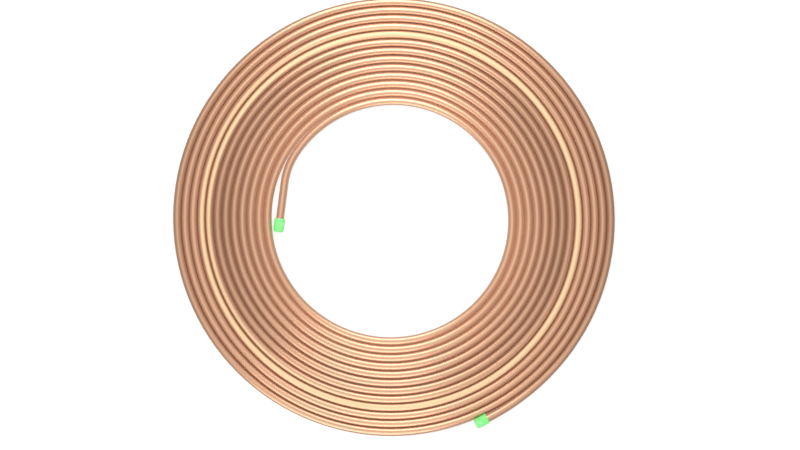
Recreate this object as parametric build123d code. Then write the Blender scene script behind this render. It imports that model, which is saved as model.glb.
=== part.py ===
from build123d import *
import os

# Flat coil of soft copper tube, lying on the floor, with a push-on cap on each end of the tube.
# Millimetres, +Z up. From its outer end the tube winds inward anticlockwise, seen from above.

# Tube stock, three-eighths of an inch outside
tube_diameter = 9.525
tube_wall = 0.81

# Winding: half turns, each of a smaller radius than the one before
outer_radius = 261.2  # centre line of the outermost half turn
half_turns = 25
rim_gap = 0.05  # clear space between the outermost turns
bore_gap = 0.67  # springback opens the innermost turns
winding_start = -36.0  # where the outermost half turn starts, anticlockwise from +X

# Push-on end caps, moulded in soft plastic
cap_wall = 1.6
cap_depth = 14.0  # how far the tube reaches into the cap
cap_end_thickness = 2.1
cap_draft = 0.3  # how much narrower the closed end is than the mouth, for the mould
cap_end_round = 2.8
cap_mouth_round = 0.8

# Outer end of the tube: eases up and out until its cap rests against the next turn's shoulder, then runs straight
outer_end_sweep = 28.05  # from the start of the winding back to the straight
outer_end_bare = 0.5  # straight length left outside the cap
outer_cap_lean = 22.4  # from the middle of the next turn up to the middle of the cap
outer_cap_gap = 0.15

# Inner end of the tube: bends in off the innermost turn, then runs straight
inner_end_sweep = 42.4  # from the end of the winding on to the tube's end
inner_bend_reach = 21.4  # length of the bend's two tangents
inner_cap_gap = 1.9
inner_cap_floor_gap = 0.55  # the end climbs a little as it leaves the winding, so that its cap clears the floor

tube_radius = tube_diameter / 2
cap_radius = tube_radius + cap_wall


def radial_at(angle):
    """The way outward from a turn's centre at an angle from +X."""
    return Vector(1, 0, 0).rotate(Axis.Z, angle)


def wound_turns():
    """Centre lines of the half turns, from rim to bore. Each takes up where the last one ends, on its tangent."""
    centre, radius = Vector(0, 0, 0), outer_radius
    turns = []
    for index in range(half_turns):
        start_angle = winding_start + 180 * index
        turns.append(CenterArc(centre, radius, start_angle, 180))
        gap = rim_gap + (bore_gap - rim_gap) * index / (half_turns - 1)
        step = (tube_diameter + gap) / 2
        centre -= radial_at(start_angle) * step
        radius -= step
    return turns


def beside(turn, angle, distance, climb):
    """The point a distance outward from a turn's centre line and a climb above it."""
    return turn.arc_center + radial_at(angle) * (turn.radius + distance) + Vector(0, 0, climb)


def outer_end(turns):
    """Centre line of the rim's free end, from the winding outward: an arc, then a straight that the cap covers."""
    reach = Vector(tube_radius + cap_radius + outer_cap_gap, 0, 0).rotate(Axis.Y, -outer_cap_lean)
    straight_start = beside(turns[1], winding_start - outer_end_sweep, reach.X, reach.Z)
    ease = TangentArc(turns[0] @ 0, straight_start, tangent=-(turns[0] % 0))
    return ease, Line(ease @ 1, ease @ 1 + (ease % 1) * (outer_end_bare + cap_depth))


def inner_end(turns):
    """Centre line of the bore's free end, from the winding inward: a bend, then a straight to the tube's end."""
    reach = tube_radius + cap_radius + inner_cap_gap
    climb = cap_wall + inner_cap_floor_gap
    tip = beside(turns[-2], winding_start + 180 * half_turns + inner_end_sweep, -reach, climb)
    corner = turns[-1] @ 1 + (turns[-1] % 1) * inner_bend_reach
    straight_start = corner + (tip - corner).normalized() * inner_bend_reach
    return TangentArc(turns[-1] @ 1, straight_start, tangent=turns[-1] % 1), Line(straight_start, tip)


def end_cap(tube_end):
    """A round-ended cup that seats on the tube's end, turned about the line of its last straight."""
    outline = Polyline(
        (0, 0),
        (tube_radius, 0),
        (tube_radius, -cap_depth),
        (cap_radius, -cap_depth),
        (cap_radius - cap_draft, cap_end_thickness),
        (0, cap_end_thickness),
        close=True,
    )
    cup = revolve(make_face(Plane.XZ * outline), Axis.Z)
    cup = fillet(cup.edges().group_by(Axis.Z)[-1], cap_end_round)
    mouth_rim = cup.edges().group_by(Axis.Z)[0].sort_by(SortBy.RADIUS)[-1]
    cup = fillet(mouth_rim, cap_mouth_round)
    return Plane(origin=tube_end @ 1, z_dir=tube_end % 1) * cup


turns = wound_turns()
ease, outer_straight = outer_end(turns)
bend, inner_straight = inner_end(turns)

centre_line = Wire([outer_straight, ease, *turns, bend, inner_straight])
tube_ring = Circle(tube_radius) - Circle(tube_radius - tube_wall)
ring_plane = Plane(origin=centre_line @ 0, z_dir=centre_line % 0)

parts = {
    "copper_tube": sweep(ring_plane * tube_ring, path=centre_line),
    "outer_end_cap": end_cap(outer_straight),
    "inner_end_cap": end_cap(inner_straight),
}

# The model stands on the floor, with the middle of its box over the origin
box = Compound([*parts.values()]).bounding_box()
to_origin = Pos(-box.center().X, -box.center().Y, -box.min.Z)

os.makedirs("parts", exist_ok=True)
for name, part in parts.items():
    export_step(to_origin * part, f"parts/{name}.step")
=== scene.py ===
"""Dresses a flat coil of soft copper tube: the wound tube, its two push-on end caps, and a plain studio."""

import math

import bmesh
import bpy
from bpy.props import FloatProperty, FloatVectorProperty, IntProperty, PointerProperty
from mathutils import Matrix, Vector


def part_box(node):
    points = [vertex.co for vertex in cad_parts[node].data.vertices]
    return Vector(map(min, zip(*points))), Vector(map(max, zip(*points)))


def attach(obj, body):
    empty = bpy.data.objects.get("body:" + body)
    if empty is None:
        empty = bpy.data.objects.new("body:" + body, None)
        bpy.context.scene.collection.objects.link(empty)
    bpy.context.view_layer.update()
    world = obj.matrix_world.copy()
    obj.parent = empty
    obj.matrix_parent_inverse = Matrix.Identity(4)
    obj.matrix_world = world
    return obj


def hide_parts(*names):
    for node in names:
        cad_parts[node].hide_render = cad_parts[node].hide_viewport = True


bl_info = {
    "name": "Copper Tube Coil",
    "version": (1, 0, 0),
    "blender": (4, 5, 0),
    "location": "3D View > Sidebar > Tube Coil",
    "description": "Makes a flat coil of soft copper tube with its end caps, and a studio around it",
    "category": "Add Mesh",
}

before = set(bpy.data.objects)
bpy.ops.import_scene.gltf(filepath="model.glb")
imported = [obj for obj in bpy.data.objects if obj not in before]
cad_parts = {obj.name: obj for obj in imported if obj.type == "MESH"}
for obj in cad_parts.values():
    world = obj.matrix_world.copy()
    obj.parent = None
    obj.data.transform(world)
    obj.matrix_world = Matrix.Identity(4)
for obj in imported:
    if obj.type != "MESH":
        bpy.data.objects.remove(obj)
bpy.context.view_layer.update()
tube_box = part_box("copper_tube")

MM = 0.001
ROOT = "root"
COORDINATES = "tube_coordinates"  # along the tube, then the place on its section
TOUCHING = 0.01 * MM  # points nearer to each other than this are one point
MOUTH_SHARE = 0.9  # how far in the tube's mouths are hollow, as a share of the cap's depth
BEND_SHARE = 0.2  # a bend's steps, as a share of those in one turn

# Finish of the copper
CROWN = (0.5, 0.95)  # height on the section, 0 in the middle and 1 on top, over which the painted highlight ring sets in
FLANK = (0.85, 0.25)  # height on the section over which the painted shade down the flanks sets in, downwards
OPEN_TURNS = (0.72, 0.56)  # share of the rim's radius over which the turns begin to stand open, inwards, and the painted shade down their flanks turns paler
DRAW_LINES = (166.7 * MM, 1.111 * MM)  # length and width, coarser than real ones so that they show
DRAWN_ROUGHNESS = (0.26, 0.37)  # from one draw line to the next
DULL_ROUGHNESS = 0.5  # of the flanks under their painted shade, and of the painted highlight ring
DULL_METALLIC = 0.4
PAINTED_RING_TONES = (  # how bright the painted light and shade in rings make the copper, from half way in to the rim
    (0.12, 1.02),
    (0.28, 0.97),
    (0.40, 0.9),
    (0.48, 0.79),
    (0.55, 0.75),
    (0.63, 0.86),
    (0.76, 1.0),
    (0.84, 0.96),
    (0.91, 0.88),
    (0.97, 0.78),
)
FLANK_SHADE_LEFT = 0.3  # share of the painted shade down the flanks that is left under the painted highlight ring
PAINTED_TONES_AHEAD = 0.2  # how strong the painted ring tones are in front and behind, against 1 at the left and right
STAIN_SIZE = 111.1 * MM  # soft clouds of tarnish
STAIN_LEVELS = (0.93, 1.07)

# Finish of the caps
PAINTED_GLINT_SIZE = 3.333 * MM  # painted highlights: pale spots in the cap's colour
MOULD_GRAIN = 0.7143 * MM  # the mould's texture, coarser than it is so that it shows

# Light
FLOOR_GLOW = 0.6  # as the lens alone sees it
SHADE_SHORT = 0.4  # turns by which the floor's shade stops short of the bore
WALL_TOP = (-0.1, -0.04, 0.994)  # the way to the brightest part of the studio
WALL_STRETCH = (1.0, 0.7, 1.0)  # walls in front and behind look as bright as higher ones at the sides
WALL_LEVELS = (  # how bright the studio is, from the height of the floor to straight above
    (0.001, 0.43),
    (0.15, 0.49),
    (0.5, 0.53),
    (0.8, 0.66),
    (0.95, 0.92),
    (0.999, 1.0),
)


def linear(code):
    """The linear colour of an sRGB hex value, as Blender's colour sockets take it."""
    channels = [int(code[i : i + 2], 16) / 255 for i in (1, 3, 5)]
    return [c / 12.92 if c <= 0.04045 else ((c + 0.055) / 1.055) ** 2.4 for c in channels]


def opaque(rgb):
    """A colour as a node's socket takes it."""
    return (*rgb, 1.0)


def size(name, description, default):
    """A length that a user would change. Its default is in millimetres, and it shows hundredths of them."""
    return FloatProperty(
        name=name,
        description=description,
        default=default * MM,
        min=0.0,
        precision=5,
        unit="LENGTH",
        subtype="DISTANCE",
    )


def turn(name, description, default):
    """An angle that a user would change. Its default is given in degrees."""
    return FloatProperty(
        name=name,
        description=description,
        default=math.radians(default),
        unit="ROTATION",
        subtype="ANGLE",
    )


def colour(name, description, code):
    """A colour that a user would change. Its default is given as an sRGB hex value."""
    return FloatVectorProperty(
        name=name,
        description=description,
        default=linear(code),
        min=0.0,
        max=1.0,
        subtype="COLOR",
    )


class TubeSizes(bpy.types.PropertyGroup):
    """The tube's stock size and how it is wound, the same as in the solid model."""

    diameter: size("Tube diameter", "Outside diameter of the tube", 9.525)
    wall: size("Tube wall", "Thickness of the tube's wall", 0.81)
    outer_radius: size("Outer radius", "Centre line of the outermost half turn", 261.2)
    half_turns: IntProperty(name="Half turns", description="Half turns in the winding", default=25, min=2)
    rim_gap: size("Rim gap", "Clear space between the outermost turns", 0.05)
    bore_gap: size("Bore gap", "Clear space between the innermost turns", 0.67)
    start: turn("Winding start", "Where the outermost turn starts, anticlockwise from +X", -36.0)
    outer_sweep: turn("Outer end sweep", "From the winding's start back to the outer straight", 28.05)
    outer_bare: size("Outer bare length", "Straight length between the outer bend and its cap", 0.5)
    outer_cap_lean: turn("Outer cap lean", "From the next turn's middle up to the middle of the cap", 22.4)
    outer_cap_gap: size("Outer cap gap", "Clear space between the outer cap and the next turn", 0.15)
    inner_sweep: turn("Inner end sweep", "From the winding's end on to the tube's inner end", 42.4)
    inner_reach: size("Inner bend reach", "Length of the inner bend's two tangents", 21.4)
    inner_cap_gap: size("Inner cap gap", "Clear space between the inner cap and the next turn", 1.9)
    inner_cap_floor_gap: size("Floor gap", "How far the inner cap stands clear of the floor", 0.55)
    steps: IntProperty(name="Steps", description="Steps of the mesh in one turn", default=120, min=24)
    sides: IntProperty(name="Sides", description="Faces round the tube's section", default=48, min=8)


class CapSizes(bpy.types.PropertyGroup):
    """A push-on cap, a round-ended cup moulded in soft plastic."""

    wall: size("Wall", "Thickness of the cap's wall", 1.6)
    depth: size("Depth", "How far the tube reaches into the cap", 14.0)
    end_thickness: size("End thickness", "Thickness of the closed end", 2.1)
    draft: size("Draft", "How much narrower the closed end is than the mouth", 0.3)
    end_round: size("End round", "Rounding of the closed end's rim", 2.8)
    mouth_round: size("Mouth round", "Rounding of the mouth's outer rim", 0.8)
    lip_round: size("Lip round", "Rounding of the mouth's inner rim", 0.2)
    sides: IntProperty(name="Sides", description="Faces round the cap", default=72, min=12)
    round_steps: IntProperty(name="Round steps", description="Steps of a rounding", default=6, min=1)


class Finishes(bpy.types.PropertyGroup):
    """Colours of the copper, the caps and the floor, some of them painted shade and painted highlight, and
    where the painted highlight ring lies on the copper.
    """

    copper: colour("Copper", "Bright drawn copper", "#ECB997")
    # painted shade: the darker colour down the flanks where turn lies against turn, where shade falls; the
    # flanks are also less metallic and rougher there
    flank_shade: colour("Flank", "Dull brown skin down the flanks of the turns", "#C29C86")
    # paler painted shade down the flanks of the open turns by the bore
    open_flank_shade: colour("Loose flank", "Paler skin down the flanks of the open turns by the bore", "#E8C0A6")
    # painted highlight: a pale ring of colour on the crowns of the turns, in place of a reflection
    band: colour("Rubbed band", "Paler copper where another coil has lain on this one", "#FFDCAE")
    cap: colour("Cap", "Soft moulded plastic", "#86F588")
    floor: colour("Floor", "Pale studio floor", "#C8C8C8")
    # painted shade and painted copper bounce light on the floor under the winding
    shade: colour("Shade", "Glow of the floor under the winding, tinted by the copper", "#CE9073")
    # the next three place the painted highlight ring
    band_radius: size("Band radius", "From the coil's middle to the middle of the rubbed band", 224.0)
    band_reach: size("Band reach", "From the middle of the rubbed band to where it starts to fade", 4.0)
    band_fade: size("Band fade", "Over which the rubbed band fades out", 3.5)


class Studio(bpy.types.PropertyGroup):
    """The camera looks straight down on the coil."""

    lens: FloatProperty(name="Lens", description="Focal length", default=85.0, unit="CAMERA", min=10.0)
    width: size("Picture width", "Width of the picture at the tube's height", 960.0)
    centre_x: FloatProperty(
        name="Centre X", description="Middle of the picture", default=7.25 * MM, unit="LENGTH"
    )
    centre_y: FloatProperty(
        name="Centre Y", description="Middle of the picture", default=-9.6 * MM, unit="LENGTH"
    )
    floor_size: FloatProperty(name="Floor size", description="Side of the floor", default=60.0, unit="LENGTH")


def add_node(tree, kind, inputs=None, **settings):
    """Adds a node with its settings, and sets or links its inputs, which are given by name or by number."""
    node = tree.nodes.new(kind)
    for name, value in settings.items():
        setattr(node, name, value)
    for name, value in (inputs or {}).items():
        if isinstance(value, bpy.types.NodeSocket):
            tree.links.new(value, node.inputs[name])
        else:
            node.inputs[name].default_value = value
    return node


def fill_ramp(ramp, levels):
    """Puts grey levels, each (position, level), on a colour ramp in place of the two that it starts with."""
    for position, level in levels:
        ramp.elements.new(position).color = (level, level, level, 1.0)
    ramp.elements.remove(ramp.elements[0])
    ramp.elements.remove(ramp.elements[-1])


def radial(angle):
    """The way outward from the coil's middle at an angle from +X."""
    return Vector((math.cos(angle), math.sin(angle), 0.0))


def half_turns(tube):
    """Centre and radius of each half turn of the solid's winding, from rim to bore."""
    reach = tube.outer_radius + tube.diameter / 2
    low, high = tube_box
    centre = Vector((high.x - reach, high.y - reach, low.z + tube.diameter / 2))
    radius = tube.outer_radius
    found = []
    for index in range(tube.half_turns):
        found.append((centre.copy(), radius))
        gap = tube.rim_gap + (tube.bore_gap - tube.rim_gap) * index / (tube.half_turns - 1)
        step = (tube.diameter + gap) / 2
        centre -= radial(tube.start + math.pi * index) * step
        radius -= step
    return found


def arc_end(start, tangent, end):
    """Direction at the end of the arc that leaves start along tangent, and the handle that draws it."""
    chord = end - start
    way = chord.normalized()
    leaving = 2 * tangent.dot(way) * way - tangent
    half_angle = tangent.angle(way)
    arc_radius = chord.length / (2 * math.sin(half_angle))
    return leaving, 4 / 3 * math.tan(half_angle / 2) * arc_radius


def spiral(tube):
    """Middle and first radius of the spiral that runs through the half turns."""
    centre, radius = half_turns(tube)[0]
    half_step = (tube.diameter + tube.rim_gap) / 4
    return centre - radial(tube.start) * half_step, radius + half_step


def spiral_point(tube, turns):
    """Place and direction of the spiral after a number of turns."""
    centre, radius = spiral(tube)
    total = tube.half_turns / 2
    mean_gap = tube.rim_gap + (tube.bore_gap - tube.rim_gap) * turns / total / 2
    pitch_here = tube.diameter + tube.rim_gap + (tube.bore_gap - tube.rim_gap) * turns / total
    radius -= turns * (tube.diameter + mean_gap)
    angle = tube.start + 2 * math.pi * turns
    across = radial(angle + math.pi / 2)
    direction = across * radius - radial(angle) * pitch_here / (2 * math.pi)
    return centre + radial(angle) * radius, direction.normalized()


def free_ends(tube, cap):
    """Each free end of the tube: its bend off the winding, with the handles, its straight and its tip."""
    turns = half_turns(tube)
    tube_radius = tube.diameter / 2
    cap_radius = tube_radius + cap.wall

    centre, radius = turns[1]
    reach = tube_radius + cap_radius + tube.outer_cap_gap
    outward = radial(tube.start - tube.outer_sweep)
    outer_straight = centre + outward * (radius + reach * math.cos(tube.outer_cap_lean))
    outer_straight.z += reach * math.sin(tube.outer_cap_lean)
    first_centre, first_radius = turns[0]
    outer_start = first_centre + radial(tube.start) * first_radius
    outer_way, _ = arc_end(outer_start, -radial(tube.start + math.pi / 2), outer_straight)
    outer_tip = outer_straight + outer_way * (tube.outer_bare + cap.depth)

    centre, radius = turns[-2]
    reach = tube_radius + cap_radius + tube.inner_cap_gap
    end_angle = tube.start + math.pi * tube.half_turns
    inner_tip = centre + radial(end_angle + tube.inner_sweep) * (radius - reach)
    inner_tip.z += cap.wall + tube.inner_cap_floor_gap
    last_centre, last_radius = turns[-1]
    inner_end = last_centre + radial(end_angle) * last_radius
    corner = inner_end + radial(end_angle + math.pi / 2) * tube.inner_reach
    inner_way = (inner_tip - corner).normalized()
    inner_straight = corner + inner_way * tube.inner_reach

    ends = {}
    for name, turn_count, backward, straight, way, tip in (
        ("Outer", 0.0, -1, outer_straight, outer_way, outer_tip),
        ("Inner", tube.half_turns / 2, 1, inner_straight, inner_way, inner_tip),
    ):
        start, direction = spiral_point(tube, turn_count)
        _, handle = arc_end(start, direction * backward, straight)
        ends[name] = {
            "Bend": start,
            "Bend Handle": direction * backward * handle,
            "Straight Handle": -way * handle,
            "Straight": straight,
            "Tip": tip,
        }
    return ends


def rolled_winding(tree, given, share):
    """The winding: a straight line of points that is rolled up by the spiral's rule."""
    line = add_node(tree, "GeometryNodeCurvePrimitiveLine")
    line = add_node(
        tree, "GeometryNodeResampleCurve", {"Curve": line.outputs[0], "Count": given["Winding Points"]}
    )
    turns = add_node(tree, "ShaderNodeMath", {0: share, 1: given["Turns"]}, operation="MULTIPLY")
    half_share = add_node(tree, "ShaderNodeMath", {0: share, 1: 0.5}, operation="MULTIPLY")
    mean_gap = add_node(
        tree,
        "ShaderNodeMix",
        {"Factor": half_share.outputs[0], "A": given["Rim Gap"], "B": given["Bore Gap"]},
    )
    pitch = add_node(
        tree, "ShaderNodeMath", {0: mean_gap.outputs[0], 1: given["Tube Diameter"]}, operation="ADD"
    )
    inward = add_node(
        tree, "ShaderNodeMath", {0: turns.outputs[0], 1: pitch.outputs[0]}, operation="MULTIPLY"
    )
    radius = add_node(
        tree, "ShaderNodeMath", {0: given["First Radius"], 1: inward.outputs[0]}, operation="SUBTRACT"
    )
    arm = add_node(tree, "ShaderNodeCombineXYZ", {"X": radius.outputs[0]})
    angle = add_node(
        tree,
        "ShaderNodeMath",
        {0: turns.outputs[0], 1: 2 * math.pi, 2: given["Start"]},
        operation="MULTIPLY_ADD",
    )
    swung = add_node(
        tree,
        "ShaderNodeVectorRotate",
        {"Vector": arm.outputs[0], "Angle": angle.outputs[0]},
        rotation_type="Z_AXIS",
    )
    place = add_node(tree, "ShaderNodeVectorMath", {0: swung.outputs[0], 1: given["Centre"]}, operation="ADD")
    winding = add_node(
        tree, "GeometryNodeSetPosition", {"Geometry": line.outputs[0], "Position": place.outputs[0]}
    )
    return winding.outputs[0]


def joined_path(tree, given, share, winding):
    """The winding and both free ends as one line. Its points are numbered, so that they join in order."""
    joined = add_node(tree, "GeometryNodeJoinGeometry")
    runs = [(winding, share)]
    for end, way, first in (("Outer", -1.0, 0.0), ("Inner", 1.0, 1.0)):
        bend = add_node(
            tree,
            "GeometryNodeCurvePrimitiveBezierSegment",
            {
                "Resolution": given["Bend Points"],
                "Start": given[f"{end} Bend"],
                "Start Handle": given[f"{end} Bend Handle"],
                "End Handle": given[f"{end} Straight Handle"],
                "End": given[f"{end} Straight"],
            },
            mode="OFFSET",
        )
        bend = add_node(
            tree, "GeometryNodeResampleCurve", {"Curve": bend.outputs[0], "Count": given["Bend Points"]}
        )
        number = add_node(tree, "ShaderNodeMath", {0: share, 1: way, 2: first}, operation="MULTIPLY_ADD")
        runs.append((bend.outputs[0], number.outputs[0]))
        tip = add_node(tree, "GeometryNodePoints", {"Count": 1, "Position": given[f"{end} Tip"]})
        tip = add_node(
            tree,
            "GeometryNodeStoreNamedAttribute",
            {"Geometry": tip.outputs[0], "Name": "order", "Value": first + 2 * way},
        )
        tree.links.new(tip.outputs[0], joined.inputs[0])
    for curve, number in runs:
        numbered = add_node(
            tree, "GeometryNodeStoreNamedAttribute", {"Geometry": curve, "Name": "order", "Value": number}
        )
        points = add_node(tree, "GeometryNodeCurveToPoints", {"Curve": numbered.outputs[0]}, mode="EVALUATED")
        tree.links.new(points.outputs["Points"], joined.inputs[0])
    single = add_node(
        tree, "GeometryNodeMergeByDistance", {"Geometry": joined.outputs[0], "Distance": TOUCHING}
    )
    order = add_node(tree, "GeometryNodeInputNamedAttribute", {"Name": "order"}, data_type="FLOAT")
    path = add_node(
        tree,
        "GeometryNodePointsToCurves",
        {"Points": single.outputs[0], "Weight": order.outputs["Attribute"]},
    )
    path = add_node(tree, "GeometryNodeSetCurveNormal", {"Curve": path.outputs[0]}, mode="Z_UP")
    length = add_node(tree, "GeometryNodeSplineParameter").outputs["Length"]
    path = add_node(
        tree,
        "GeometryNodeStoreNamedAttribute",
        {"Geometry": path.outputs[0], "Name": "along", "Value": length},
    )
    return path.outputs[0]


def swept_section(tree, given, path, radius):
    """The tube's section along the path. It remembers its own shape for the drawn lines in the finish."""
    section = add_node(
        tree, "GeometryNodeCurvePrimitiveCircle", {"Resolution": given["Sides"], "Radius": radius}
    )
    own_place = add_node(tree, "GeometryNodeInputPosition")
    section = add_node(
        tree,
        "GeometryNodeStoreNamedAttribute",
        {"Geometry": section.outputs[0], "Name": "section", "Value": own_place.outputs[0]},
        data_type="FLOAT_VECTOR",
    )
    tube = add_node(
        tree,
        "GeometryNodeCurveToMesh",
        {"Curve": path, "Profile Curve": section.outputs[0], "Fill Caps": True},
    )
    along = add_node(tree, "GeometryNodeInputNamedAttribute", {"Name": "along"}, data_type="FLOAT")
    around = add_node(tree, "GeometryNodeInputNamedAttribute", {"Name": "section"}, data_type="FLOAT_VECTOR")
    around = add_node(tree, "ShaderNodeSeparateXYZ", {0: around.outputs["Attribute"]})
    straightened = add_node(
        tree,
        "ShaderNodeCombineXYZ",
        {0: along.outputs["Attribute"], 1: around.outputs[0], 2: around.outputs[1]},
    )
    tube = add_node(
        tree,
        "GeometryNodeStoreNamedAttribute",
        {"Geometry": tube.outputs[0], "Name": COORDINATES, "Value": straightened.outputs[0]},
        data_type="FLOAT_VECTOR",
    )
    return tube.outputs[0]


def opened_mouths(tree, given, tube, radius):
    """The tube with its two mouths: the end faces are drawn in by the wall and pushed back."""
    corners = add_node(tree, "GeometryNodeInputMeshFaceNeighbors").outputs["Vertex Count"]
    end_face = add_node(
        tree, "FunctionNodeCompare", {2: corners, 3: 4}, data_type="INT", operation="GREATER_THAN"
    )
    rim = add_node(
        tree,
        "GeometryNodeExtrudeMesh",
        {"Mesh": tube, "Selection": end_face.outputs[0], "Offset Scale": 0.0},
    )
    wall = add_node(tree, "ShaderNodeMath", {0: given["Tube Wall"], 1: radius}, operation="DIVIDE")
    bore = add_node(tree, "ShaderNodeMath", {0: 1.0, 1: wall.outputs[0]}, operation="SUBTRACT")
    mouth = add_node(
        tree,
        "GeometryNodeScaleElements",
        {"Geometry": rim.outputs["Mesh"], "Selection": rim.outputs["Top"], "Scale": bore.outputs[0]},
    )
    depth = add_node(tree, "ShaderNodeMath", {0: given["Mouth Depth"], 1: -1.0}, operation="MULTIPLY")
    mouth = add_node(
        tree,
        "GeometryNodeExtrudeMesh",
        {"Mesh": mouth.outputs[0], "Selection": rim.outputs["Top"], "Offset Scale": depth.outputs[0]},
    )
    return mouth.outputs[0]


def tube_tree():
    """Geometry Nodes for the tube: a spiral and its two free ends in one line, with the section along it."""
    tree = bpy.data.node_groups.new("Wound Tube", "GeometryNodeTree")
    sockets = [
        ("Tube Diameter", "NodeSocketFloat"),
        ("Tube Wall", "NodeSocketFloat"),
        ("Centre", "NodeSocketVector"),
        ("First Radius", "NodeSocketFloat"),
        ("Rim Gap", "NodeSocketFloat"),
        ("Bore Gap", "NodeSocketFloat"),
        ("Turns", "NodeSocketFloat"),
        ("Start", "NodeSocketFloat"),
        ("Winding Points", "NodeSocketInt"),
        ("Bend Points", "NodeSocketInt"),
        ("Sides", "NodeSocketInt"),
        ("Mouth Depth", "NodeSocketFloat"),
        ("Material", "NodeSocketMaterial"),
    ]
    parts = ("Bend", "Bend Handle", "Straight Handle", "Straight", "Tip")
    sockets += [(f"{end} {part}", "NodeSocketVector") for end in ("Outer", "Inner") for part in parts]
    for name, kind in sockets:
        tree.interface.new_socket(name, in_out="INPUT", socket_type=kind)
    tree.interface.new_socket("Geometry", in_out="OUTPUT", socket_type="NodeSocketGeometry")
    given = add_node(tree, "NodeGroupInput").outputs

    share = add_node(tree, "GeometryNodeSplineParameter").outputs["Factor"]
    radius = add_node(
        tree, "ShaderNodeMath", {0: given["Tube Diameter"], 1: 0.5}, operation="MULTIPLY"
    ).outputs[0]
    path = joined_path(tree, given, share, rolled_winding(tree, given, share))
    tube = opened_mouths(tree, given, swept_section(tree, given, path, radius), radius)
    for name in ("order", "along", "section"):
        tube = add_node(tree, "GeometryNodeRemoveAttribute", {"Geometry": tube, "Name": name}).outputs[0]
    smooth = add_node(tree, "GeometryNodeSetShadeSmooth", {"Geometry": tube})
    real = add_node(tree, "GeometryNodeRealizeInstances", {"Geometry": smooth.outputs[0]})
    finished = add_node(
        tree, "GeometryNodeSetMaterial", {"Geometry": real.outputs[0], "Material": given["Material"]}
    )
    add_node(tree, "NodeGroupOutput", {"Geometry": finished.outputs[0]})
    return tree


def grown(name, tree, values):
    """The plain mesh object that a Geometry Nodes tree makes from named input values."""
    piece = bpy.data.objects.new(name, bpy.data.meshes.new(name))
    bpy.context.scene.collection.objects.link(piece)
    modifier = piece.modifiers.new(tree.name, "NODES")
    modifier.node_group = tree
    for item in tree.interface.items_tree:
        if item.in_out == "INPUT":
            modifier[item.identifier] = values[item.name]
    depsgraph = bpy.context.evaluated_depsgraph_get()
    mesh = bpy.data.meshes.new_from_object(piece.evaluated_get(depsgraph), depsgraph=depsgraph)
    piece.modifiers.remove(modifier)
    piece.data = mesh
    mesh.name = name
    if not mesh.polygons:
        raise RuntimeError(f"{name} came out empty")
    return piece


def empty_material(name):
    """A material with no nodes yet, and its tree."""
    material = bpy.data.materials.new(name)
    material.use_nodes = True
    material.node_tree.nodes.clear()
    return material, material.node_tree


def from_middle(tree, place, tube):
    """The level way from the coil's middle out to a place, and how far it is."""
    outward = add_node(tree, "ShaderNodeVectorMath", {0: place, 1: spiral(tube)[0]}, operation="SUBTRACT")
    outward = add_node(
        tree, "ShaderNodeVectorMath", {0: outward.outputs[0], 1: (1, 1, 0)}, operation="MULTIPLY"
    )
    distance = add_node(tree, "ShaderNodeVectorMath", {0: outward.outputs[0]}, operation="LENGTH")
    return outward.outputs[0], distance.outputs["Value"]


def copper_with_painted_tones(tree, finishes, outward, distance, rim):
    """The copper with painted light and shade in rings, darker in some turns and lighter in others, most of
    all at the left and right.
    """
    painted_shading = add_node(tree, "ShaderNodeMapRange", {"Value": distance, "From Min": rim / 2, "From Max": rim})
    painted_shading = add_node(tree, "ShaderNodeValToRGB", {0: painted_shading.outputs[0]})
    fill_ramp(painted_shading.color_ramp, PAINTED_RING_TONES)
    sideways = add_node(tree, "ShaderNodeVectorMath", {0: outward}, operation="NORMALIZE")
    sideways = add_node(tree, "ShaderNodeSeparateXYZ", {0: sideways.outputs[0]}).outputs["X"]
    sideways = add_node(tree, "ShaderNodeMath", {0: sideways, 1: 2.0}, operation="POWER")
    strength = add_node(tree, "ShaderNodeMapRange", {"Value": sideways.outputs[0], "To Min": PAINTED_TONES_AHEAD})
    copper = add_node(
        tree,
        "ShaderNodeMix",
        {"Factor": strength.outputs[0], "A": opaque(finishes.copper), "B": painted_shading.outputs["Color"]},
        data_type="RGBA",
        blend_type="MULTIPLY",
    )
    return copper.outputs["Result"]


def painted_highlight_ring(tree, finishes, distance, facing_up):
    """How much of the painted highlight a place has: a ring on the crowns of the turns."""
    off_ring = add_node(tree, "ShaderNodeMath", {0: distance, 1: finishes.band_radius}, operation="SUBTRACT")
    off_ring = add_node(tree, "ShaderNodeMath", {0: off_ring.outputs[0]}, operation="ABSOLUTE")
    ring = add_node(
        tree,
        "ShaderNodeMapRange",
        {
            "Value": off_ring.outputs[0],
            "From Min": finishes.band_reach,
            "From Max": finishes.band_reach + finishes.band_fade,
            "To Min": 1.0,
            "To Max": 0.0,
        },
        interpolation_type="SMOOTHSTEP",
    )
    crown = add_node(
        tree,
        "ShaderNodeMapRange",
        {"Value": facing_up, "From Min": CROWN[0], "From Max": CROWN[1]},
        interpolation_type="SMOOTHSTEP",
    )
    highlight = add_node(tree, "ShaderNodeMath", {0: ring.outputs[0], 1: crown.outputs[0]}, operation="MULTIPLY")
    return highlight.outputs[0]


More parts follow.
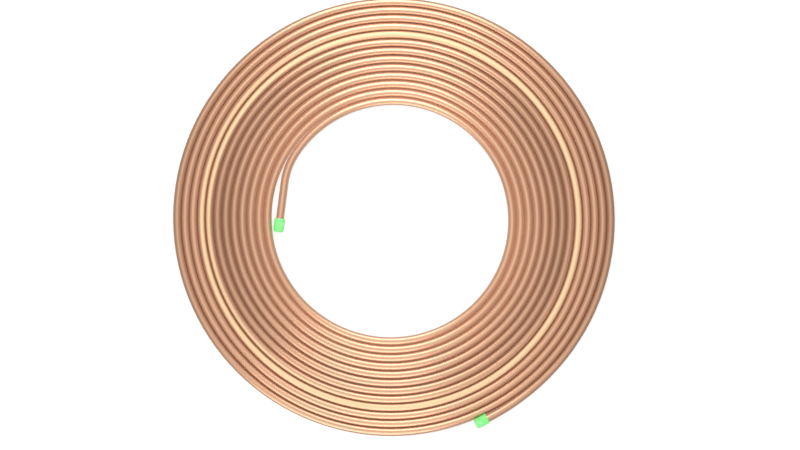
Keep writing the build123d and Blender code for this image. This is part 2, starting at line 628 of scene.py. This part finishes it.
def painted_flank_shade(tree, finishes, distance, rim, facing_up, highlight):
    """How much painted shade a place takes, down the flanks where turn lies against turn, and its colour."""
    flank_shade = add_node(
        tree,
        "ShaderNodeMapRange",
        {"Value": facing_up, "From Min": FLANK[0], "From Max": FLANK[1]},
        interpolation_type="SMOOTHSTEP",
    )
    shade_kept = add_node(
        tree, "ShaderNodeMath", {0: highlight, 1: FLANK_SHADE_LEFT - 1, 2: 1.0}, operation="MULTIPLY_ADD"
    )
    flank_shade = add_node(
        tree, "ShaderNodeMath", {0: flank_shade.outputs[0], 1: shade_kept.outputs[0]}, operation="MULTIPLY"
    )
    loose = add_node(
        tree,
        "ShaderNodeMapRange",
        {"Value": distance, "From Min": OPEN_TURNS[0] * rim, "From Max": OPEN_TURNS[1] * rim},
    )
    brown = add_node(
        tree,
        "ShaderNodeMix",
        {"Factor": loose.outputs[0], "A": opaque(finishes.flank_shade), "B": opaque(finishes.open_flank_shade)},
        data_type="RGBA",
    )
    return flank_shade.outputs[0], brown.outputs["Result"]


def copper_material(finishes, tube):
    """Bright drawn copper, soft annealed. It gives long soft reflections along the tube, and carries painted
    shade down its flanks, a painted highlight ring and painted light and shade in rings.
    """
    material, tree = empty_material("bright_drawn_copper")
    own = add_node(tree, "ShaderNodeAttribute", attribute_name=COORDINATES).outputs["Vector"]
    section = add_node(tree, "ShaderNodeSeparateXYZ", {0: own})
    facing_up = add_node(
        tree, "ShaderNodeMath", {0: section.outputs["Z"], 1: -2 / tube.diameter}, operation="MULTIPLY"
    ).outputs[0]
    place = add_node(tree, "ShaderNodeTexCoord").outputs["Object"]
    outward, distance = from_middle(tree, place, tube)
    rim = tube.outer_radius + tube.diameter / 2

    # The colour: painted light and shade in rings, then the painted highlight ring, then the painted shade
    # down the flanks
    copper = copper_with_painted_tones(tree, finishes, outward, distance, rim)
    highlight = painted_highlight_ring(tree, finishes, distance, facing_up)
    flank_shade, brown = painted_flank_shade(tree, finishes, distance, rim, facing_up, highlight)
    for amount, tone in ((highlight, opaque(finishes.band)), (flank_shade, brown)):
        mixed = add_node(tree, "ShaderNodeMix", {"Factor": amount, "A": copper, "B": tone}, data_type="RGBA")
        copper = mixed.outputs["Result"]
    stains = add_node(tree, "ShaderNodeTexNoise", {"Vector": place, "Scale": 1 / STAIN_SIZE, "Detail": 2.0})
    stains = add_node(
        tree,
        "ShaderNodeMapRange",
        {"Value": stains.outputs[0], "To Min": STAIN_LEVELS[0], "To Max": STAIN_LEVELS[1]},
    )
    copper = add_node(tree, "ShaderNodeHueSaturation", {"Color": copper, "Value": stains.outputs[0]})

    # Draw lines along the tube, and how dull it is under the painted highlight ring and the painted shade
    # down the flanks
    length, width = DRAW_LINES
    lines = add_node(tree, "ShaderNodeMapping", {"Vector": own, "Scale": (1 / length, 1 / width, 1 / width)})
    lines = add_node(tree, "ShaderNodeTexNoise", {"Vector": lines.outputs[0], "Scale": 1.0, "Detail": 3.0})
    relief = add_node(
        tree, "ShaderNodeBump", {"Height": lines.outputs[0], "Strength": 0.25, "Distance": 0.08 * MM}
    )
    dull = add_node(tree, "ShaderNodeMath", {0: highlight, 1: flank_shade}, operation="MAXIMUM").outputs[0]
    metallic = add_node(
        tree, "ShaderNodeMath", {0: dull, 1: DULL_METALLIC - 1, 2: 1.0}, operation="MULTIPLY_ADD"
    )
    drawn = add_node(
        tree,
        "ShaderNodeMapRange",
        {"Value": lines.outputs[0], "To Min": DRAWN_ROUGHNESS[0], "To Max": DRAWN_ROUGHNESS[1]},
    )
    roughness = add_node(tree, "ShaderNodeMix", {"Factor": dull, "A": drawn.outputs[0], "B": DULL_ROUGHNESS})
    surface = add_node(
        tree,
        "ShaderNodeBsdfPrincipled",
        {
            "Base Color": copper.outputs[0],
            "Metallic": metallic.outputs[0],
            "Roughness": roughness.outputs[0],
            "Normal": relief.outputs[0],
        },
    )
    add_node(tree, "ShaderNodeOutputMaterial", {"Surface": surface.outputs[0]})
    return material


def cap_material(finishes):
    """Soft moulded polyethylene. Light goes a little way in, and its sheen is waxy and slightly uneven. Pale
    spots of painted highlight lie in its colour, and it glows a little with painted light.
    """
    material, tree = empty_material("moulded_polyethylene")
    place = add_node(tree, "ShaderNodeTexCoord").outputs["Object"]
    clouds = add_node(tree, "ShaderNodeTexNoise", {"Vector": place, "Scale": 1 / PAINTED_GLINT_SIZE, "Detail": 2.0})
    # painted highlights: pale spots mixed into the plastic's colour
    painted_glints = add_node(
        tree,
        "ShaderNodeMapRange",
        {"Value": clouds.outputs[0], "From Min": 0.58, "From Max": 0.72, "To Max": 0.5},
    )
    plastic = add_node(
        tree,
        "ShaderNodeMix",
        {"Factor": painted_glints.outputs[0], "A": opaque(finishes.cap), "B": opaque((1.0, 1.0, 1.0))},
        data_type="RGBA",
    )
    sheen = add_node(tree, "ShaderNodeMapRange", {"Value": clouds.outputs[0], "To Min": 0.3, "To Max": 0.5})
    grain = add_node(tree, "ShaderNodeTexNoise", {"Vector": place, "Scale": 1 / MOULD_GRAIN, "Detail": 2.0})
    grain = add_node(
        tree, "ShaderNodeBump", {"Height": grain.outputs[0], "Strength": 0.3, "Distance": 0.1 * MM}
    )
    surface = add_node(
        tree,
        "ShaderNodeBsdfPrincipled",
        {
            "Base Color": plastic.outputs["Result"],
            "Roughness": sheen.outputs[0],
            "IOR": 1.51,
            "Subsurface Weight": 0.25,
            "Subsurface Radius": (1.0, 1.0, 1.0),
            "Subsurface Scale": 1.2 * MM,
            "Emission Color": opaque(finishes.cap),  # painted light: the cap glows a little, though it is no lamp
            "Emission Strength": 0.13,
            "Normal": grain.outputs[0],
        },
    )
    add_node(tree, "ShaderNodeOutputMaterial", {"Surface": surface.outputs[0]})
    return material


def floor_material(finishes, tube):
    """Matt white floor. It glows for the lens alone, so that it is white while the lamps stay plain."""
    material, tree = empty_material("matt_white_floor")
    rays = add_node(tree, "ShaderNodeLightPath")
    glow = add_node(
        tree, "ShaderNodeMath", {0: rays.outputs["Is Camera Ray"], 1: FLOOR_GLOW}, operation="MULTIPLY"
    )

    # Painted shade and painted bounce light: under the winding the glow is dim and copper-coloured, so that
    # the gaps between turns stay brown
    place = add_node(tree, "ShaderNodeTexCoord").outputs["Object"]
    _, distance = from_middle(tree, place, tube)
    shade_end = tube.outer_radius - (tube.half_turns / 2 - SHADE_SHORT) * tube.diameter
    beyond = add_node(tree, "ShaderNodeMath", {0: distance, 1: tube.outer_radius}, operation="GREATER_THAN")
    within = add_node(tree, "ShaderNodeMath", {0: distance, 1: shade_end}, operation="LESS_THAN")
    open_floor = add_node(
        tree, "ShaderNodeMath", {0: beyond.outputs[0], 1: within.outputs[0]}, operation="MAXIMUM"
    )
    light = add_node(
        tree,
        "ShaderNodeMix",
        {"Factor": open_floor.outputs[0], "A": opaque(finishes.shade), "B": opaque((1.0, 1.0, 1.0))},
        data_type="RGBA",
    )
    surface = add_node(
        tree,
        "ShaderNodeBsdfPrincipled",
        {
            "Base Color": opaque(finishes.floor),
            "Roughness": 0.9,
            "Specular IOR Level": 0.0,
            "Emission Color": light.outputs["Result"],
            "Emission Strength": glow.outputs[0],
        },
    )
    add_node(tree, "ShaderNodeOutputMaterial", {"Surface": surface.outputs[0]})
    return material


def rounded_outline(corners, steps):
    """Points of an outline whose corners, each (across, along, radius), are rounded by arcs."""
    points = []
    for index, (x, y, radius) in enumerate(corners):
        corner = Vector((x, y))
        if radius <= 0:
            points.append(corner)
            continue
        before = (Vector(corners[index - 1][:2]) - corner).normalized()
        after = (Vector(corners[index + 1][:2]) - corner).normalized()
        half = before.angle(after) / 2
        middle = corner + (before + after).normalized() * radius / math.sin(half)
        first = corner + before * radius / math.tan(half) - middle
        last = corner + after * radius / math.tan(half) - middle
        swing = first.angle_signed(last)
        points += [middle + Matrix.Rotation(-swing * k / steps, 2) @ first for k in range(steps + 1)]
    return points


def cap_mesh(name, cap, tube_radius):
    """A cap about +Z, with the tube's end at the origin: its outline, spun."""
    outer = tube_radius + cap.wall
    corners = [
        (0.0, 0.0, 0.0),
        (tube_radius, 0.0, 0.0),
        (tube_radius, -cap.depth, cap.lip_round),
        (outer, -cap.depth, cap.mouth_round),
        (outer - cap.draft, cap.end_thickness, cap.end_round),
        (0.0, cap.end_thickness, 0.0),
    ]
    shell = bmesh.new()
    outline = [shell.verts.new((p.x, 0.0, p.y)) for p in rounded_outline(corners, cap.round_steps)]
    edges = [shell.edges.new(pair) for pair in zip(outline, outline[1:])]
    bmesh.ops.spin(
        shell,
        geom=outline + edges,
        cent=(0, 0, 0),
        axis=(0, 0, 1),
        angle=2 * math.pi,
        steps=cap.sides,
        use_merge=True,
    )
    bmesh.ops.remove_doubles(shell, verts=shell.verts, dist=TOUCHING)
    bmesh.ops.recalc_face_normals(shell, faces=shell.faces)
    for face in shell.faces:
        face.smooth = True
    mesh = bpy.data.meshes.new(name)
    shell.to_mesh(mesh)
    shell.free()
    return mesh


class TUBECOIL_OT_tube(bpy.types.Operator):
    """Winds the copper tube by the spiral's rule and gives it its finish"""

    bl_idname = "tube_coil.wind_tube"
    bl_label = "Wind Tube"

    def execute(self, context):
        tube = context.scene.coil_tube
        centre, first_radius = spiral(tube)
        values = {
            "Tube Diameter": tube.diameter,
            "Tube Wall": tube.wall,
            "Centre": centre,
            "First Radius": first_radius,
            "Rim Gap": tube.rim_gap,
            "Bore Gap": tube.bore_gap,
            "Turns": tube.half_turns / 2,
            "Start": tube.start,
            "Winding Points": tube.steps * tube.half_turns // 2 + 1,
            "Bend Points": round(tube.steps * BEND_SHARE),
            "Sides": tube.sides,
            "Mouth Depth": context.scene.coil_cap.depth * MOUTH_SHARE,
            "Material": copper_material(context.scene.coil_finishes, tube),
        }
        for end, parts in free_ends(tube, context.scene.coil_cap).items():
            values.update({f"{end} {part}": place for part, place in parts.items()})
        piece = grown("wound_tube", tube_tree(), values)
        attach(piece, ROOT)
        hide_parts("copper_tube")
        return {"FINISHED"}


class TUBECOIL_OT_caps(bpy.types.Operator):
    """Turns the two push-on caps and seats them on the tube's ends"""

    bl_idname = "tube_coil.seat_caps"
    bl_label = "Seat Caps"

    def execute(self, context):
        tube, cap = context.scene.coil_tube, context.scene.coil_cap
        plastic = cap_material(context.scene.coil_finishes)
        for end, parts in free_ends(tube, cap).items():
            name = f"{end.lower()}_cap"
            mesh = cap_mesh(name, cap, tube.diameter / 2)
            way = (parts["Tip"] - parts["Straight"]).normalized()
            turned = way.to_track_quat("Z", "Y").to_matrix().to_4x4()
            mesh.transform(Matrix.Translation(parts["Tip"]) @ turned)
            mesh.materials.append(plastic)
            piece = bpy.data.objects.new(name, mesh)
            context.scene.collection.objects.link(piece)
            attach(piece, ROOT)
            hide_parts(f"{end.lower()}_end_cap")
        return {"FINISHED"}


def softbox(name, width, height, place, aim, radiance):
    """A rectangular lamp that faces a point. Its power is four times its area times how bright it looks."""
    lamp = bpy.data.lights.new(name, "AREA")
    lamp.shape = "RECTANGLE"
    lamp.size, lamp.size_y = width, height
    lamp.energy = 4 * width * height * radiance
    holder = bpy.data.objects.new(name, lamp)
    holder.location = place
    holder.rotation_mode = "QUATERNION"
    holder.rotation_quaternion = (Vector(aim) - Vector(place)).to_track_quat("-Z", "Y")
    holder.visible_camera = False
    bpy.context.scene.collection.objects.link(holder)
    return holder


class TUBECOIL_OT_studio(bpy.types.Operator):
    """Lays the floor, hangs the soft lamps and sets the camera straight above the coil"""

    bl_idname = "tube_coil.set_studio"
    bl_label = "Set Studio"

    def execute(self, context):
        scene, studio, tube = context.scene, context.scene.coil_studio, context.scene.coil_tube
        mesh = bpy.data.meshes.new("floor")
        half = studio.floor_size / 2
        corners = [(-half, -half, 0), (half, -half, 0), (half, half, 0), (-half, half, 0)]
        mesh.from_pydata(corners, [], [(0, 1, 2, 3)])
        mesh.materials.append(floor_material(scene.coil_finishes, tube))
        floor = bpy.data.objects.new("floor", mesh)
        scene.collection.objects.link(floor)

        softbox(
            "key_softbox",
            width=0.65,
            height=0.65,
            place=(-0.01, 0.62, 0.58),
            aim=(0, 0, 0),
            radiance=2.0,
        )
        softbox(
            "fill_softbox",
            width=1.0,
            height=0.65,
            place=(-0.27, -0.95, 0.44),
            aim=(-0.27, 0, 0),
            radiance=1.38,
        )

        world = bpy.data.worlds.new("studio_walls")
        world.use_nodes = True
        tree = world.node_tree
        tree.nodes.clear()
        way = add_node(tree, "ShaderNodeTexCoord").outputs["Generated"]
        way = add_node(tree, "ShaderNodeVectorMath", {0: way, 1: WALL_STRETCH}, operation="MULTIPLY")
        way = add_node(tree, "ShaderNodeVectorMath", {0: way.outputs[0]}, operation="NORMALIZE")
        up = add_node(tree, "ShaderNodeVectorMath", {0: way.outputs[0], 1: WALL_TOP}, operation="DOT_PRODUCT")
        level = add_node(tree, "ShaderNodeValToRGB", {0: up.outputs["Value"]})
        fill_ramp(level.color_ramp, WALL_LEVELS)
        sky = add_node(tree, "ShaderNodeBackground", {"Color": level.outputs["Color"]})
        add_node(tree, "ShaderNodeOutputWorld", {"Surface": sky.outputs[0]})
        scene.world = world

        lens = bpy.data.cameras.new("camera")
        lens.lens = studio.lens
        camera = bpy.data.objects.new("camera", lens)
        height = studio.width / 2 / math.tan(lens.angle / 2)
        camera.location = (studio.centre_x, studio.centre_y, tube.diameter / 2 + height)
        scene.collection.objects.link(camera)
        scene.camera = camera
        scene.view_settings.view_transform = "Standard"
        return {"FINISHED"}


class TUBECOIL_PT_panel(bpy.types.Panel):
    """Lists the steps that make the coil"""

    bl_idname = "TUBECOIL_PT_panel"
    bl_label = "Copper Tube Coil"
    bl_space_type = "VIEW_3D"
    bl_region_type = "UI"
    bl_category = "Tube Coil"

    def draw(self, context):
        for operator in OPERATORS:
            self.layout.operator(operator.bl_idname)
        for group in GROUPS:
            settings = getattr(context.scene, group)
            box = self.layout.box()
            for name in settings.bl_rna.properties.keys():
                if name not in ("rna_type", "name"):
                    box.prop(settings, name)


GROUPS = {"coil_tube": TubeSizes, "coil_cap": CapSizes, "coil_finishes": Finishes, "coil_studio": Studio}
OPERATORS = (TUBECOIL_OT_tube, TUBECOIL_OT_caps, TUBECOIL_OT_studio)
CLASSES = (*GROUPS.values(), *OPERATORS, TUBECOIL_PT_panel)


def register():
    for group in CLASSES:
        bpy.utils.register_class(group)
    for name, group in GROUPS.items():
        setattr(bpy.types.Scene, name, PointerProperty(type=group))


def unregister():
    for name in GROUPS:
        delattr(bpy.types.Scene, name)
    for group in reversed(CLASSES):
        bpy.utils.unregister_class(group)


def main():
    register()
    bpy.ops.tube_coil.wind_tube()
    bpy.ops.tube_coil.seat_caps()
    bpy.ops.tube_coil.set_studio()


if __name__ == "__main__":
    main()
